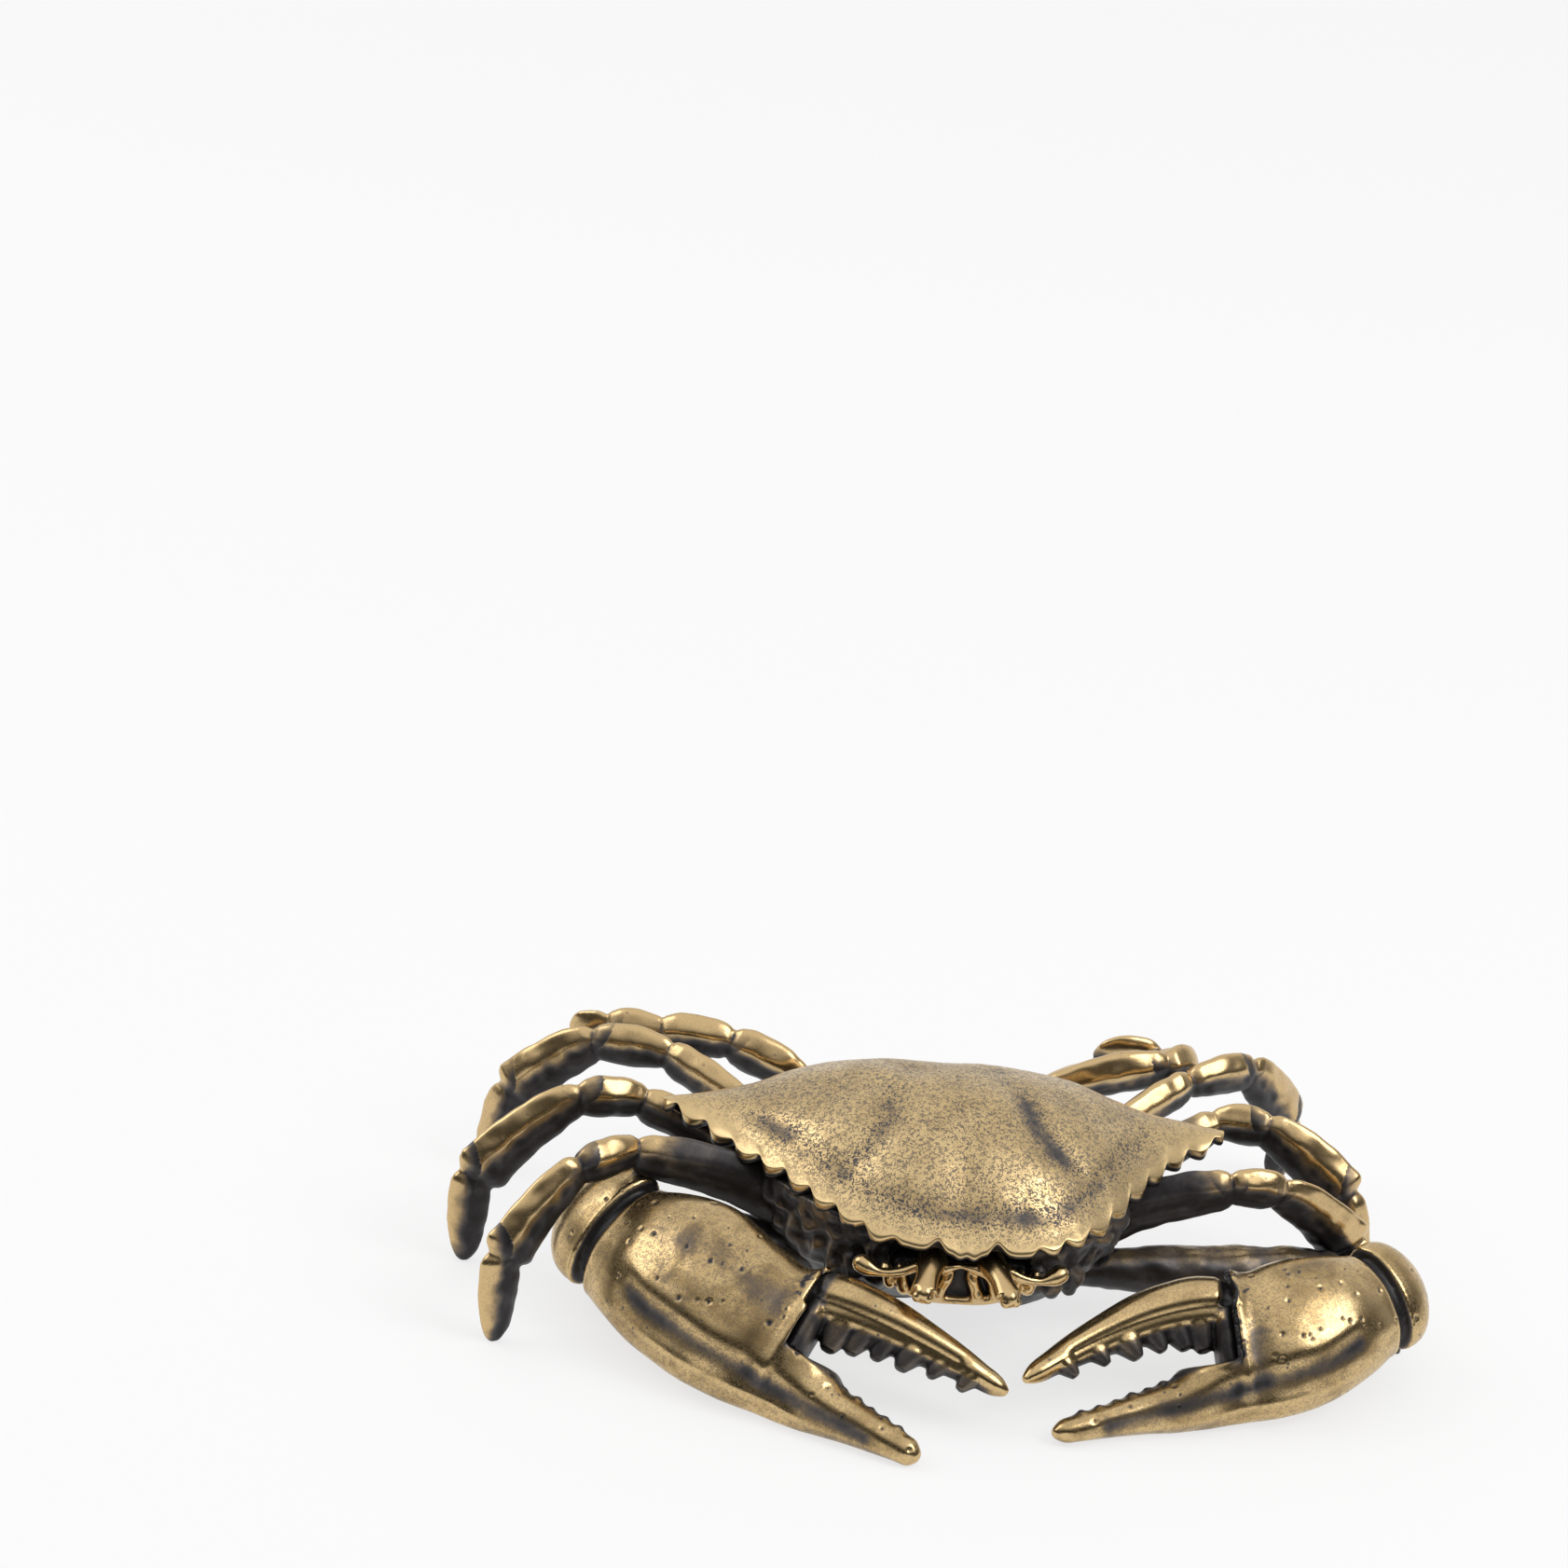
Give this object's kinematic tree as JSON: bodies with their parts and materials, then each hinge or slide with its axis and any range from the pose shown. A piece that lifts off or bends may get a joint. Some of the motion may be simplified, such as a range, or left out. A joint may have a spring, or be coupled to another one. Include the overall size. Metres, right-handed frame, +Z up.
{
  "type": "crab figurine",
  "caption": "Swimming crab ornament of cast antique brass with a toothed domed shell, large claws, arched walking legs and folded paddle legs, standing on its claws and leg tips.",
  "frame": {"origin": "middle of the rectangle that the crab covers, on the table under it", "axes": "+Z up, the crab faces -Y, its left side is at +X"},
  "size_m": [0.0661, 0.0402, 0.0165],
  "materials": {
    "shell_brass": "stippled antique brass, dark in its hollows and polished along its edge",
    "claw_brass": "polished antique brass with casting pits and dark grooves",
    "limb_brass": "antique brass with dark sides and rubbed top edges"
  },
  "bodies": {
    "root": {"carapace": "shell_brass", "left_claw_arm": "claw_brass", "left_claw_finger": "claw_brass", "left_claw_palm": "claw_brass", "left_claw_wrist": "claw_brass", "left_eye_stalk": "limb_brass", "left_leg_1": "limb_brass", "left_leg_2": "limb_brass", "left_leg_3": "limb_brass", "left_paddle_leg": "limb_brass", "mouth_plate": "limb_brass", "right_claw_arm": "claw_brass", "right_claw_finger": "claw_brass", "right_claw_palm": "claw_brass", "right_claw_wrist": "claw_brass", "right_eye_stalk": "limb_brass", "right_leg_1": "limb_brass", "right_leg_2": "limb_brass", "right_leg_3": "limb_brass", "right_paddle_leg": "limb_brass", "underbody": "limb_brass"}
  },
  "joints": []
}
